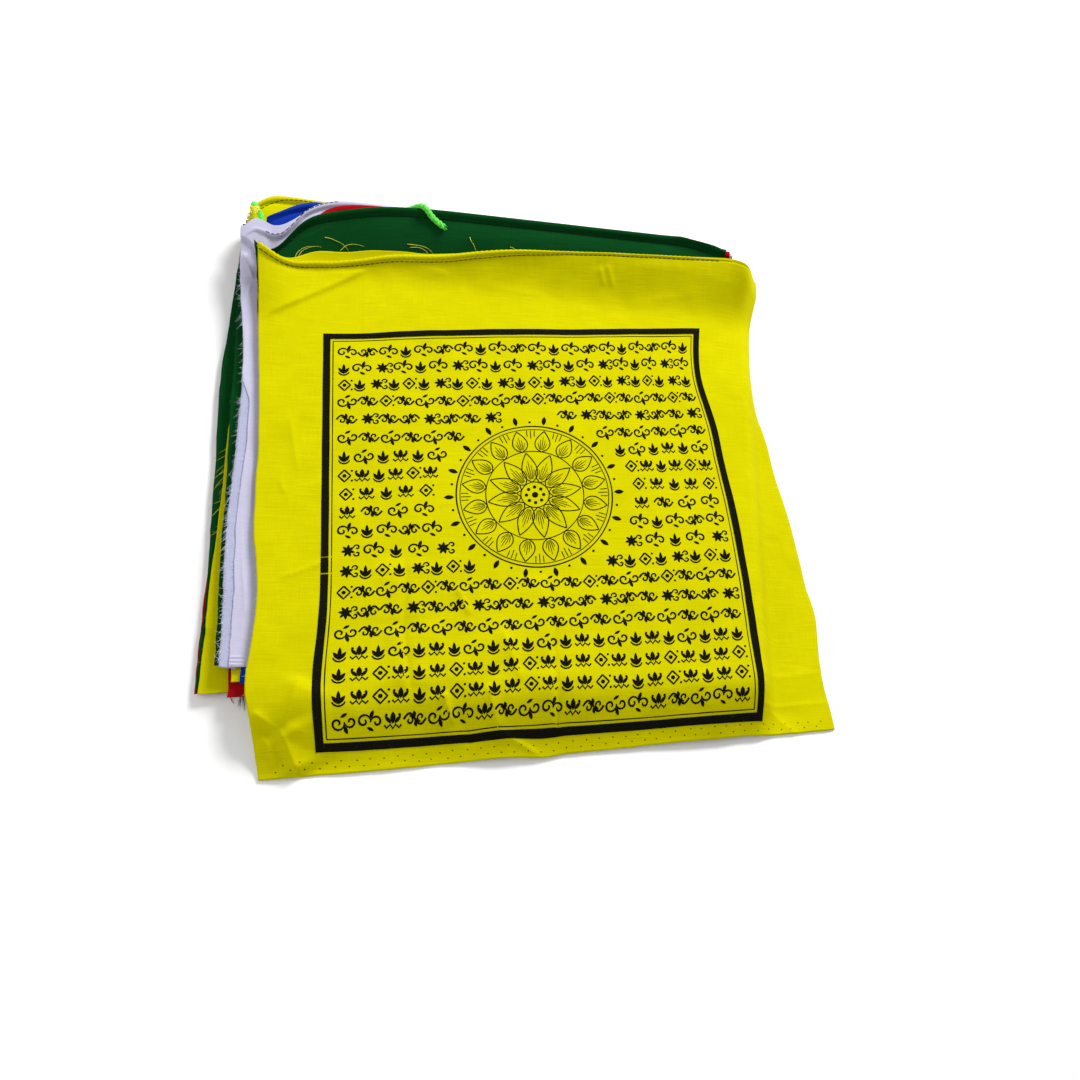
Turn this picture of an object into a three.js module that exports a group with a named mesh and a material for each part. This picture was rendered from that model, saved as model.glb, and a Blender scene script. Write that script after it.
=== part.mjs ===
// A string of square cotton prayer flags, folded to and fro into a flat pile. Every flag is one hemmed
// sheet: its top edge is folded over a cord and sewn into a round casing. The casings gather into a ridge
// along the far side of the pile, and the top flag has slid forwards and lies over the pile's edges.
// Millimetres, +Z up, +X along the casings, +Y towards them. The pile rests on z = 0.
import * as THREE from "three";

// Driving dimensions
const CLOTH = 1; // thickness of a sheet
const GAP = 0.45; // air between two sheets
const CASING_WIDTH = 5; // the sewn casing, across the heading
const EDGE_EASE = 12; // a sheet keeps its height this far past the edge of a sheet below it
const DRAPE_REACH = 24; // and comes down within this distance
const TOP_EDGE_EASE = 11; // the same for the top flag,
const TOP_SIDE_REACH = 15; // which falls steeply at its sides
const TOP_HEM_REACH = 40; // and gently at its hem
const CASING_EASE = 5; // a sheet stays level this far to each side of a casing below it
const CASING_FALL = 45; // and comes down within this distance
const DIP_FADE = 110; // distance below a heading over which a dip in it dies out
const ORIGIN = { x: -17, y: 18.593 }; // plan point that becomes the origin
const STEEPEST = 2.2; // most that a slope may thicken the top flag upwards

const COLOURS = {
  yellow: 0xf2e600,
  green: 0x0d4a22,
  red: 0xa01418,
  white: 0xe4e4f2,
  blue: 0x14309a,
};
const CORD_COLOUR = 0x4fe04a;

// The flags from the top of the pile down. x of the left and right edges at the heading and at the hem, y of
// the heading and the hem at their left and right ends, and how far the casing stands up above the sheet.
const FLAG_COLUMNS = [
  "name", "colour", "leftTop", "leftHem", "rightTop", "rightHem",
  "headLeft", "headRight", "hemLeft", "hemRight", "casing", "grid",
];
const FLAGS = [
  ["flag_00_yellow", "yellow", -165, -165, 162, 166, 167, 151, -169, -157, 3.6, "fine"],
  ["flag_01_green", "green", -167, -160, 138, 108, 197.7, 168, -118, -118, 3.4, "medium"],
  ["flag_02_red", "red", -164, -160.5, 142.5, 111, 199.1, 167, -108, -113, 1.4, "medium"],
  ["flag_03_white", "white", -176, -186, 145, 113, 206, 167, -110, -114, 2.8, "medium"],
  ["flag_04_blue", "blue", -160, -175, 147, 110, 203.1, 166, -119, -117, 2, "medium"],
  ["flag_05_yellow", "yellow", -170, -180, 150, 114, 209.5, 164, -117, -118, 2.4, "medium"],
  ["flag_06_green", "green", -175, -192, 143, 108, 198, 163, -107, -113, 0.8, "coarse"],
  ["flag_07_red", "red", -173, -182, 141, 107, 204, 164, -125, -120, 0.8, "coarse"],
  ["flag_08_white", "white", -167, -177, 139, 109, 196, 162, -115, -115, 0.8, "coarse"],
  ["flag_09_blue", "blue", -169, -176, 142, 106, 199, 163, -120, -118, 0.8, "coarse"],
  ["flag_10_yellow", "yellow", -168, -198, 140, 110, 198, 162, -121, -120, 0.8, "coarse"],
  ["flag_11_green", "green", -174, -199, 142, 111, 201, 165, -119, -118, 0.8, "coarse"],
  ["flag_12_red", "red", -174, -200, 138, 107, 195, 160, -120, -119, 0.8, "coarse"],
  ["flag_13_white", "white", -168, -188, 141, 109, 198, 163, -112, -112, 0.8, "coarse"],
  ["flag_14_blue", "blue", -170, -190, 137, 108, 196, 161, -115, -116, 0.8, "coarse"],
].map((row) => Object.fromEntries(FLAG_COLUMNS.map((column, i) => [column, row[i]])));

// Where a heading is drawn forwards: share of its width, spread of the dip as a share, depth.
const HEADING_DIPS = {
  flag_00_yellow: [
    { at: 0.049, spread: 0.046, depth: 9.4 },
    { at: 0.148, spread: 0.1, depth: 10.5 },
    { at: 1, spread: 0.03, depth: 11 },
  ],
  flag_01_green: [
    { at: 0.021, spread: 0.062, depth: 28 },
    { at: 0.083, spread: 0.141, depth: 13.4 },
    { at: 1, spread: 0.06, depth: 6.5 },
  ],
  flag_02_red: [
    { at: 0.038, spread: 0.059, depth: 32.4 },
    { at: 0.041, spread: 0.099, depth: 14.5 },
    { at: 1, spread: 0.05, depth: 4 },
  ],
  flag_03_white: [
    { at: 0.062, spread: 0.077, depth: 25.4 },
    { at: -0.001, spread: 0.022, depth: 16.3 },
    { at: 1, spread: 0.05, depth: 2.5 },
  ],
  flag_04_blue: [{ at: -0.018, spread: 0.077, depth: 18.5 }],
  flag_05_yellow: [{ at: -0.013, spread: 0.038, depth: 15.2 }],
  flag_06_green: [{ at: 0, spread: 0.06, depth: 13 }],
  flag_07_red: [{ at: 0, spread: 0.06, depth: 14 }],
  flag_11_green: [{ at: 0, spread: 0.06, depth: 9 }],
  flag_12_red: [{ at: 0, spread: 0.06, depth: 4 }],
};

// The white flag's heading is turned over at its left end, so a band of cloth shows beyond its casing.
const TURNED_FLAG = "flag_03_white";
const TURNED_BAND = { width: 10, from: 0.08, to: 0.125 };

// The blue heading ends in a rolled pad.
const PADDED_FLAG = "flag_04_blue";
const PAD = { share: 0.13, depth: 14, height: 2.2 };

// Where the side of a flag is drawn in or bulges. The top flag's right edge drops over the side of the pile.
// Share of the height, spread, distance towards +X, and share of the width from which it acts.
const TOP_FLAG = "flag_00_yellow";
const SIDE_PULLS = {
  flag_00_yellow: [
    { at: 0.28, spread: 0.19, shift: -15, still: 0.6, edge: 1 },
    { at: 0.87, spread: 0.1, shift: -6, still: 0.25, edge: 0 },
    { at: 0.36, spread: 0.08, shift: 5.5, still: 0.7, edge: 1 },
    { at: 0, spread: 0.06, shift: 3.5, still: 0.8, edge: 1 },
  ],
  flag_03_white: [{ at: 0.42, spread: 0.22, shift: 5.5, still: 0.2, edge: 0 }],
  flag_11_green: [{ at: 0.38, spread: 0.25, shift: -4.5, still: 0.2, edge: 0 }],
};

// Creases of the top flag: ends, half width and height.
const CREASES = [
  { x1: -158, y1: 118, x2: -92, y2: 146, half: 12, height: 3 },
  { x1: -172, y1: -168, x2: -120, y2: -96, half: 15, height: 3.5 },
  { x1: -60, y1: -40, x2: -30, y2: -120, half: 14, height: 2 },
];
// Where the top flag's hem lifts off the surface: share of its width, spread and lift.
const HEM_ARCHES = [
  { at: 0.4, spread: 0.06, lift: 3 },
  { at: 0.74, spread: 0.09, lift: 1.5 },
];
const HEM_ARCH_FROM = 0.82; // share of the flag's height where an arch begins

// The cord in the casings shows in two places: a link between two headings at the left end of the pile, and
// the tail from the bottom flag, which lies behind the pile, climbs over the ridge and ends on the green flag.
const CORD_DIAMETER = 4;
const CORD_SIDES = 8;
const CORDS = [
  {
    name: "cord_link",
    steps: 12,
    route: [
      [-168, 200.8, 19.2],
      [-167.8, 200.4, 22.8],
      [-167, 198.4, 26.2],
      [-165.7, 194.6, 27.3],
      [-164.2, 190, 27.1],
      [-163.2, 185.4, 26.3],
      [-163, 181.6, 25.6],
    ],
  },
  {
    name: "cord_tail",
    steps: 30,
    route: [
      [-166, 200.2, 2.2],
      [-150, 200.2, 2.1],
      [-130, 200.4, 2.1],
      [-112, 200.4, 2.1],
      [-101, 200.2, 2.15],
      [-92, 199.8, 3.2],
      [-85.5, 199.5, 6.4],
      [-81.8, 199.3, 12],
      [-80.3, 199.2, 18.5],
      [-79.8, 199, 24],
      [-79, 198.3, 28.6],
      [-77.4, 196.7, 33],
      [-75, 194.2, 36.7],
      [-72.2, 191.2, 39.4],
      [-69.2, 188, 41.3],
      [-66, 185.3, 41.6],
      [-62.6, 182.6, 40.9],
      [-59, 180.2, 39.1],
      [-55.6, 177.9, 37.8],
      [-52, 175.4, 37.4],
      [-48.8, 173.2, 37.3],
    ],
  },
];

const lerp = (a, b, t) => a + (b - a) * t;
const clamp01 = (t) => Math.min(1, Math.max(0, t));
const smooth = (t) => clamp01(t) ** 2 * (3 - 2 * clamp01(t));
const hump = (t) => Math.exp(-t * t);

// Plan of a flag: u is the share of its width, s the distance below its far edge
const headingDip = (flag, u) =>
  (HEADING_DIPS[flag.name] ?? []).reduce((sum, d) => sum + d.depth * hump((u - d.at) / d.spread), 0);
const headLine = (flag, u) => lerp(flag.headLeft, flag.headRight, u);
const flagHeight = (flag, u) => headLine(flag, u) - lerp(flag.hemLeft, flag.hemRight, u);

function planPoint(flag, u, s) {
  const v = s / flagHeight(flag, u);
  const left = lerp(flag.leftTop, flag.leftHem, v);
  const right = lerp(flag.rightTop, flag.rightHem, v);
  const fade = Math.max(0, 1 - s / DIP_FADE) ** 2;
  let x = lerp(left, right, u);
  (SIDE_PULLS[flag.name] ?? []).forEach((p) => {
    x += p.shift * hump((v - p.at) / p.spread) * smooth((u - p.still) / (p.edge - p.still));
  });
  return [x, headLine(flag, u) - s - headingDip(flag, u) * fade];
}

// Distances outside the four straight edges of a flag's plan, negative inside: heading, right, hem, left
function distancesOutside(flag, x, y) {
  const corners = [
    [flag.leftTop, flag.headLeft],
    [flag.rightTop, flag.headRight],
    [flag.rightHem, flag.hemRight],
    [flag.leftHem, flag.hemLeft],
  ];
  return corners.map(([ax, ay], i) => {
    const [bx, by] = corners[(i + 1) % 4];
    return ((bx - ax) * (y - ay) - (by - ay) * (x - ax)) / Math.hypot(bx - ax, by - ay);
  });
}

// Casing: where its middle lies below the flag's far edge, and how high it stands
function casingMiddle(flag, u) {
  const along = (u - TURNED_BAND.from) / (TURNED_BAND.to - TURNED_BAND.from);
  const band = flag.name === TURNED_FLAG ? TURNED_BAND.width * (1 - clamp01(along)) : 0;
  return band + CASING_WIDTH / 2;
}
function casingHeight(flag, u) {
  const starts = flag.name === TURNED_FLAG ? smooth(u / TURNED_BAND.from) : 1;
  return flag.casing * starts;
}

// Height that one flag adds under the sheets above it
const PILE_DRAPE = { ease: EDGE_EASE, side: DRAPE_REACH, hem: DRAPE_REACH };
const TOP_DRAPE = { ease: TOP_EDGE_EASE, side: TOP_SIDE_REACH, hem: TOP_HEM_REACH };

function addedHeight(flag, x, y, drape) {
  const [head, right, hem, left] = distancesOutside(flag, x, y);
  const sides = smooth(1 - (Math.max(head, right, left) - drape.ease) / drape.side);
  const cover = sides * smooth(1 - (hem - drape.ease) / drape.hem);
  const u = clamp01((x - flag.leftTop) / (flag.rightTop - flag.leftTop));
  const [, far] = planPoint(flag, u, 0);
  const off = Math.abs(y - far + casingMiddle(flag, u)) - CASING_EASE;
  const past = Math.max(flag.leftTop - x, x - flag.rightTop, 0) - CASING_EASE;
  const ridge = smooth(1 - off / CASING_FALL) * smooth(1 - past / CASING_FALL);
  return (CLOTH + GAP) * cover + flag.casing * ridge;
}

function creaseLift(x, y) {
  return CREASES.reduce((sum, c) => {
    const [dx, dy] = [c.x2 - c.x1, c.y2 - c.y1];
    const t = ((x - c.x1) * dx + (y - c.y1) * dy) / (dx * dx + dy * dy);
    const away = Math.hypot(x - lerp(c.x1, c.x2, clamp01(t)), y - lerp(c.y1, c.y2, clamp01(t)));
    return sum + c.height * hump(away / c.half);
  }, 0);
}

function undersideHeight(index, x, y) {
  const drape = index === 0 ? TOP_DRAPE : PILE_DRAPE;
  return FLAGS.slice(index + 1).reduce((sum, below) => sum + addedHeight(below, x, y, drape), 0);
}

// Solid of a sheet between its underside and its upper face
function gridSolid(across, down, lower, upper) {
  const positions = [];
  const at = (i, j, top) => (i * down + j) * 2 + (top ? 1 : 0);
  for (let i = 0; i < across; i++)
    for (let j = 0; j < down; j++) positions.push(...lower(i, j), ...upper(i, j));
  const triangles = [];
  const quad = (a, b, c, d) => triangles.push(a, b, c, a, c, d);
  for (let i = 0; i + 1 < across; i++)
    for (let j = 0; j + 1 < down; j++) {
      quad(at(i, j, true), at(i, j + 1, true), at(i + 1, j + 1, true), at(i + 1, j, true));
      quad(at(i, j, false), at(i + 1, j, false), at(i + 1, j + 1, false), at(i, j + 1, false));
    }
  for (let i = 0; i + 1 < across; i++) {
    const last = down - 1;
    quad(at(i, 0, false), at(i, 0, true), at(i + 1, 0, true), at(i + 1, 0, false));
    quad(at(i, last, false), at(i + 1, last, false), at(i + 1, last, true), at(i, last, true));
  }
  for (let j = 0; j + 1 < down; j++) {
    const last = across - 1;
    quad(at(0, j, false), at(0, j + 1, false), at(0, j + 1, true), at(0, j, true));
    quad(at(last, j, false), at(last, j, true), at(last, j + 1, true), at(last, j + 1, false));
  }
  const geometry = new THREE.BufferGeometry();
  geometry.setAttribute("position", new THREE.Float32BufferAttribute(positions, 3));
  geometry.setIndex(triangles);
  geometry.computeVertexNormals();
  return geometry;
}

// Columns as shares of the width, rows of the casing as shares of its width, and rows of the body as
// distances below the line along which the casings lie, so that the sheets bend at the same places.
const even = (from, to, count) => Array.from({ length: count }, (_, i) => lerp(from, to, (i + 1) / count));
const TOP_LENGTH = 336; // height of the top flag at its left edge
const PILE_LINE = { x1: -170, y1: 201, x2: 150, y2: 166 };
const GRIDS = {
  fine: {
    columns: [0, 0.04, 0.08, 0.12, 0.16, 0.2, 0.24, ...even(0.24, 1, 20)],
    casing: [0, 0.16, 0.5, 0.84, 1],
    body: [6, 12, 19, 26, 34, 42, 51, 61, ...even(61, TOP_LENGTH - 10, 20)],
  },
  medium: {
    columns: [0, 0.02, 0.045, 0.07, 0.1, 0.13, 0.17, 0.21, 0.26, 0.32, ...even(0.32, 0.92, 4), 0.96, 1],
    casing: [0, 0.16, 0.5, 0.84, 1],
    body: [14, 20, 27, 34, 42, 51, 61, 74, 90, 120, 180, 250],
  },
  coarse: {
    columns: [0, 0.06, 0.13, 0.21, 0.32, ...even(0.32, 0.93, 3), 1],
    casing: [0, 0.5, 1],
    body: [14, 20, 27, 34, 42, 51, 61, 74, 90, 120, 180, 250],
  },
};

// Distances of a column's points below the flag's far edge
function rowsBelowEdge(flag, u, grid) {
  const start = casingMiddle(flag, u) - CASING_WIDTH / 2;
  const [x] = planPoint(flag, u, 0);
  const along = (x - PILE_LINE.x1) / (PILE_LINE.x2 - PILE_LINE.x1);
  const above = flag.name === TOP_FLAG ? 0 : headLine(flag, u) - lerp(PILE_LINE.y1, PILE_LINE.y2, along);
  const scale = flag.name === TOP_FLAG ? flagHeight(flag, u) / TOP_LENGTH : 1;
  const band = flag.name === TURNED_FLAG ? [-0.6] : [];
  const casing = grid.casing.map((share) => start + share * CASING_WIDTH);
  return [...band, ...casing, ...grid.body.map((below) => above + below * scale), flagHeight(flag, u)];
}

function upperThickness(flag, u, s) {
  const fromMiddle = (s - casingMiddle(flag, u)) / (CASING_WIDTH / 2);
  let height = CLOTH + casingHeight(flag, u) * Math.sqrt(Math.max(0, 1 - fromMiddle ** 2));
  if (flag.name === PADDED_FLAG) {
    const round = Math.max(0, 1 - u / PAD.share) * Math.max(0, 1 - s / PAD.depth);
    height += PAD.height * Math.sqrt(round);
  }
  return height;
}

function flagSolid(flag, index) {
  const grid = GRIDS[flag.grid];
  const points = grid.columns.map((u) =>
    rowsBelowEdge(flag, u, grid).map((s) => {
      const v = s / flagHeight(flag, u);
      const [x, y] = planPoint(flag, u, s);
      let z = undersideHeight(index, x, y);
      let thickness = upperThickness(flag, u, s);
      if (index === 0) {
        const step = 2;
        const slopeX = (undersideHeight(0, x + step, y) - undersideHeight(0, x - step, y)) / (2 * step);
        const slopeY = (undersideHeight(0, x, y + step) - undersideHeight(0, x, y - step)) / (2 * step);
        thickness *= Math.min(STEEPEST, Math.hypot(1, slopeX, slopeY));
        const arch = smooth((v - HEM_ARCH_FROM) / (1 - HEM_ARCH_FROM));
        z += creaseLift(x, y) * Math.min(1, z / 6);
        z += arch * HEM_ARCHES.reduce((sum, a) => sum + a.lift * hump((u - a.at) / a.spread), 0);
      }
      return { x: x - ORIGIN.x, y: y - ORIGIN.y, z, thickness };
    }),
  );
  return gridSolid(
    points.length,
    points[0].length,
    (i, j) => [points[i][j].x, points[i][j].y, points[i][j].z],
    (i, j) => [points[i][j].x, points[i][j].y, points[i][j].z + points[i][j].thickness],
  );
}

const cotton = (colour) =>
  new THREE.MeshStandardMaterial({ color: COLOURS[colour], roughness: 0.85, metalness: 0 });

const pile = new THREE.Group();
FLAGS.forEach((flag, index) => {
  const mesh = new THREE.Mesh(flagSolid(flag, index), cotton(flag.colour));
  mesh.name = flag.name;
  pile.add(mesh);
});

// A round cord swept along its route
function cordSolid({ route, steps }) {
  const section = new THREE.Shape();
  for (let side = 0; side < CORD_SIDES; side++) {
    const angle = (side / CORD_SIDES) * 2 * Math.PI;
    const point = [(CORD_DIAMETER / 2) * Math.cos(angle), (CORD_DIAMETER / 2) * Math.sin(angle)];
    if (side === 0) section.moveTo(...point);
    else section.lineTo(...point);
  }
  const points = route.map(([x, y, z]) => new THREE.Vector3(x - ORIGIN.x, y - ORIGIN.y, z));
  const extrudePath = new THREE.CatmullRomCurve3(points, false, "centripetal");
  return new THREE.ExtrudeGeometry(section, { steps, curveSegments: 1, extrudePath });
}

CORDS.forEach((cord) => {
  const material = new THREE.MeshStandardMaterial({ color: CORD_COLOUR, roughness: 0.7, metalness: 0 });
  const mesh = new THREE.Mesh(cordSolid(cord), material);
  mesh.name = cord.name;
  pile.add(mesh);
});

export default pile;
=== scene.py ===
import math

import bpy
import numpy as np
from mathutils import Matrix, Vector


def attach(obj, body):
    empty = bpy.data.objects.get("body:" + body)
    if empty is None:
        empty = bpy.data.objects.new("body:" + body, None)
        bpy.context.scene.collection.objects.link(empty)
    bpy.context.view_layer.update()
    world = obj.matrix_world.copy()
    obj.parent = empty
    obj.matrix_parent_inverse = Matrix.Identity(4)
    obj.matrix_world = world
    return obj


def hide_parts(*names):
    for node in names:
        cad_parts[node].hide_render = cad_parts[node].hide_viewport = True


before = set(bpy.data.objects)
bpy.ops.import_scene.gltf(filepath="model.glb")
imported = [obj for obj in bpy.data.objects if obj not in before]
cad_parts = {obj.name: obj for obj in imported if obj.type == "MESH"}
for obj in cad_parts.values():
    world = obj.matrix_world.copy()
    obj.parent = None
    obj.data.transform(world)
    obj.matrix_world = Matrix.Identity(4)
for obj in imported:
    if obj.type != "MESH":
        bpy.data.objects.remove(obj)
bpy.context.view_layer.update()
MM = 0.001
ORIGIN = np.array([-17.0, 18.593, 0.0])  # plan point of the pile that is the frame's origin, mm
rng = np.random.default_rng(11)


def metres(points):
    return (np.asarray(points, float) - ORIGIN) * MM


def placed(name, data):
    made = bpy.data.objects.new(name, data)
    bpy.context.collection.objects.link(made)
    return made


# Camera at the photograph's angle
AZIMUTH, ELEVATION, ROLL = math.radians(-25.337), math.radians(64), math.radians(22)
CAMERA_PLACE = (-0.119, -0.338093, 0.6551)
FOCAL_MM, SENSOR_MM = 40, 36
turn = Matrix.Rotation(AZIMUTH, 3, "Z")
right = turn @ Vector((1, 0, 0))
up = turn @ Vector((0, math.sin(ELEVATION), math.cos(ELEVATION)))
back = turn @ Vector((0, -math.cos(ELEVATION), math.sin(ELEVATION)))
across = math.cos(ROLL) * right + math.sin(ROLL) * up
upward = math.cos(ROLL) * up - math.sin(ROLL) * right
lens = bpy.data.cameras.new("camera")
lens.lens, lens.sensor_width = FOCAL_MM, SENSOR_MM
lens.clip_start, lens.clip_end = 0.01, 20
camera = placed("camera", lens)
camera_axes = Matrix((across, upward, back)).transposed().to_4x4()
camera.matrix_world = Matrix.Translation(CAMERA_PLACE) @ camera_axes
bpy.context.scene.camera = camera


# Small numeric helpers
CURVE_SOFTENING = (-0.016, -0.008, 0, 0.008, 0.016)  # shifts that a curve is averaged over


def lerp(a, b, t):
    return a + (b - a) * t


def smooth(t):
    t = np.clip(t, 0, 1)
    return t * t * (3 - 2 * t)


def hump(t):
    return np.exp(-t * t)


def curve(rows):
    """A smoothed line through rows of (place, value)."""
    at, value = np.array(rows, float).T

    def value_at(u):
        u = np.asarray(u, float)
        shifted = (np.interp(u + shift, at, value) for shift in CURVE_SOFTENING)
        return sum(shifted) / len(CURVE_SOFTENING)

    return value_at


def spline(route, per_leg):
    """Points along a centripetal Catmull-Rom curve through the route."""
    p = np.array(route, float)
    p = np.vstack([2 * p[0] - p[1], p, 2 * p[-1] - p[-2]])
    out = []
    for p0, p1, p2, p3 in zip(p, p[1:], p[2:], p[3:]):
        a, b, c = (np.linalg.norm(q) ** 0.5 for q in (p1 - p0, p2 - p1, p3 - p2))
        m1 = ((p1 - p0) / a - (p2 - p0) / (a + b) + (p2 - p1) / b) * b
        m2 = ((p2 - p1) / b - (p3 - p1) / (b + c) + (p3 - p2) / c) * b
        for t in np.arange(per_leg) / per_leg:
            h = t * t * (3 - 2 * t)
            out.append(p1 * (1 - h) + p2 * h + m1 * t * (1 - t) ** 2 + m2 * t * t * (t - 1))
    return np.array(out + [p[-2]])


# Materials
def linear(r, g, b):
    """A display colour of 0 to 255 as linear light."""
    return tuple(
        (c / 12.92 if c <= 0.04045 else ((c + 0.055) / 1.055) ** 2.4)
        for c in (r / 255, g / 255, b / 255)
    ) + (1.0,)


class Shader:
    """A node material with one principled surface."""

    def __init__(self, name):
        self.material = bpy.data.materials.new(name)
        self.material.use_nodes = True
        self.tree = self.material.node_tree
        self.surface = self.tree.nodes["Principled BSDF"]

    def add(self, kind, values=None, **settings):
        node = self.tree.nodes.new(kind)
        for key, value in settings.items():
            setattr(node, key, value)
        for key, value in (values or {}).items():
            if isinstance(value, bpy.types.NodeSocket):
                self.tree.links.new(value, node.inputs[key])
            else:
                node.inputs[key].default_value = value
        return node

    def feed(self, key, socket):
        self.tree.links.new(socket, self.surface.inputs[key])

    def fixed(self, **values):
        for key, value in values.items():
            self.surface.inputs[key.replace("_", " ")].default_value = value

    def noise(self, vector, stretch, detail):
        moved = self.add("ShaderNodeMapping", {"Vector": vector, "Scale": stretch})
        return self.add(
            "ShaderNodeTexNoise",
            {"Vector": moved.outputs[0], "Scale": 1.0, "Detail": detail, "Roughness": 0.6},
        ).outputs["Fac"]

    def spread(self, socket, low, high, to_low=0.0, to_high=1.0):
        values = {0: socket, 1: low, 2: high, 3: to_low, 4: to_high}
        return self.add("ShaderNodeMapRange", values).outputs[0]

    def place(self):
        return self.add("ShaderNodeTexCoord").outputs["Object"]

    def maths(self, kind, a, b):
        return self.add("ShaderNodeMath", {0: a, 1: b}, operation=kind).outputs[0]

    def blend(self, factor, a, b):
        return self.add("ShaderNodeMix", {0: factor, 6: a, 7: b}, data_type="RGBA").outputs[2]

    def bump(self, height, strength, distance):
        values = {"Height": height, "Strength": strength, "Distance": distance}
        self.feed("Normal", self.add("ShaderNodeBump", values).outputs[0])


def cotton(name, light, shade, worn):
    """Plain-woven dyed cotton: uneven threads both ways, faint blotches, a few pale slubs."""
    s = Shader(name)
    cloth = s.add("ShaderNodeUVMap", uv_map="cloth_mm").outputs[0]
    weft = s.noise(cloth, (0.05, 1.9, 1.0), 3.0)
    warp = s.noise(cloth, (1.9, 0.07, 1.0), 3.0)
    blotch = s.noise(cloth, (0.022, 0.022, 1.0), 4.0)
    slub = s.noise(cloth, (0.09, 3.1, 1.0), 1.0)
    threads = s.maths("ADD", s.maths("MULTIPLY", weft, 0.68), s.maths("MULTIPLY", warp, 0.32))
    dyed = s.blend(s.spread(threads, 0.34, 0.68), shade, light)
    dyed = s.blend(s.spread(blotch, 0.42, 0.75, 0.0, 0.55), dyed, shade)
    dyed = s.blend(s.spread(slub, 0.7, 0.8, 0.0, 0.4), dyed, worn)
    s.feed("Base Color", dyed)
    s.feed("Roughness", s.spread(blotch, 0.3, 0.7, 0.85, 1.0))
    s.fixed(Specular_IOR_Level=0.02)
    s.bump(threads, 0.3, 0.0003)
    return s.material


def yarn(name, light, shade, scale=900.0, sheen=0.0):
    """Spun thread or cord, mottled by its fibres."""
    s = Shader(name)
    fibre = s.noise(s.place(), (scale, scale, scale), 3.0)
    s.feed("Base Color", s.blend(s.spread(fibre, 0.35, 0.65), shade, light))
    s.feed("Roughness", s.spread(fibre, 0.3, 0.7, 0.6, 0.9))
    s.fixed(Sheen_Weight=sheen, Specular_IOR_Level=0.12)
    s.bump(fibre, 0.4, 0.0003)
    return s.material


def printing_ink(name, dark, thin):
    """Block-printed ink, a little starved here and there."""
    s = Shader(name)
    starved = s.noise(s.place(), (420.0, 900.0, 420.0), 4.0)
    s.feed("Base Color", s.blend(s.spread(starved, 0.62, 0.8, 0.0, 0.75), dark, thin))
    s.feed("Roughness", s.spread(starved, 0.3, 0.7, 0.75, 0.95))
    s.fixed(Specular_IOR_Level=0.04)
    s.bump(starved, 0.2, 0.0002)
    return s.material


DYES = {  # light thread, shaded thread, worn slub
    "yellow": ((206, 200, 0), (185, 179, 0), (220, 214, 12)),
    "green": ((11, 70, 28), (7, 56, 21), (26, 86, 42)),
    "red": ((168, 18, 24), (138, 10, 16), (188, 50, 50)),
    "white": ((195, 193, 215), (177, 174, 197), (216, 216, 230)),
    "blue": ((22, 58, 168), (13, 44, 140), (48, 80, 186)),
}
FRAY_DYES = {  # light fibre, shaded fibre
    "yellow": ((240, 236, 96), (216, 208, 48)),
    "green": ((84, 140, 70), (24, 84, 40)),
    "red": ((170, 40, 44), (120, 12, 18)),
    "white": ((226, 226, 240), (192, 192, 216)),
    "blue": ((40, 62, 140), (14, 28, 92)),
}
COTTONS = {
    colour: cotton(f"{colour}_cotton", *(linear(*tone) for tone in tones))
    for colour, tones in DYES.items()
}
THIN_WHITE = cotton(
    "thin_white_cotton", linear(180, 182, 206), linear(158, 161, 188), linear(206, 208, 226)
)
FRAYS = {
    colour: yarn(f"{colour}_fray", *(linear(*tone) for tone in tones))
    for colour, tones in FRAY_DYES.items()
}
STITCHING = yarn("dark_stitching", linear(56, 56, 40), linear(26, 26, 22))
# Green stitching thread, much darker than the green cloth: partly thread colour, partly painted
# shade of the seam groove it lies in
GREEN_STITCHING_GROOVE_SHADE = yarn("green_stitching_groove_shade", linear(10, 44, 22), linear(4, 24, 12))
CORD = yarn("green_cord", linear(126, 244, 96), linear(48, 190, 42), scale=700.0, sheen=0.2)
INK = printing_ink("black_ink", linear(16, 16, 10), linear(70, 68, 6))


# Mesh helpers
def mesh_object(name, points, faces, material, uv):
    """A smooth mesh on the one body, from points in the pile and cloth coordinates, both in mm."""
    mesh = bpy.data.meshes.new(name)
    mesh.from_pydata(metres(points).tolist(), [], faces)
    layer = mesh.uv_layers.new(name="cloth_mm")
    corners = np.empty(len(mesh.loops), dtype=np.int32)
    mesh.loops.foreach_get("vertex_index", corners)
    layer.data.foreach_set("uv", np.asarray(uv, np.float32)[corners].ravel())
    mesh.polygons.foreach_set("use_smooth", np.ones(len(mesh.polygons), dtype=bool))
    mesh.materials.append(material)
    mesh.update()
    made = placed(name, mesh)
    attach(made, "root")
    return made


def travel(path):
    """Distances along a path, and at each point the way ahead and two ways across it."""
    along = np.concatenate([[0], np.cumsum(np.linalg.norm(np.diff(path, axis=0), axis=1))])
    ahead = np.gradient(path, axis=0)
    ahead /= np.linalg.norm(ahead, axis=1)[:, None]
    side = np.cross(ahead[0], (0.0, 0.0, 1.0))
    if np.linalg.norm(side) < 0.1:
        side = np.cross(ahead[0], (0.0, 1.0, 0.0))
    ways = []
    for t in ahead:
        side = side - t * side.dot(t)
        side /= np.linalg.norm(side)
        ways.append((side, np.cross(t, side)))
    return along, ahead, ways


END_TAPER = 0.7  # share of its radius that a tapering thread loses


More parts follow.
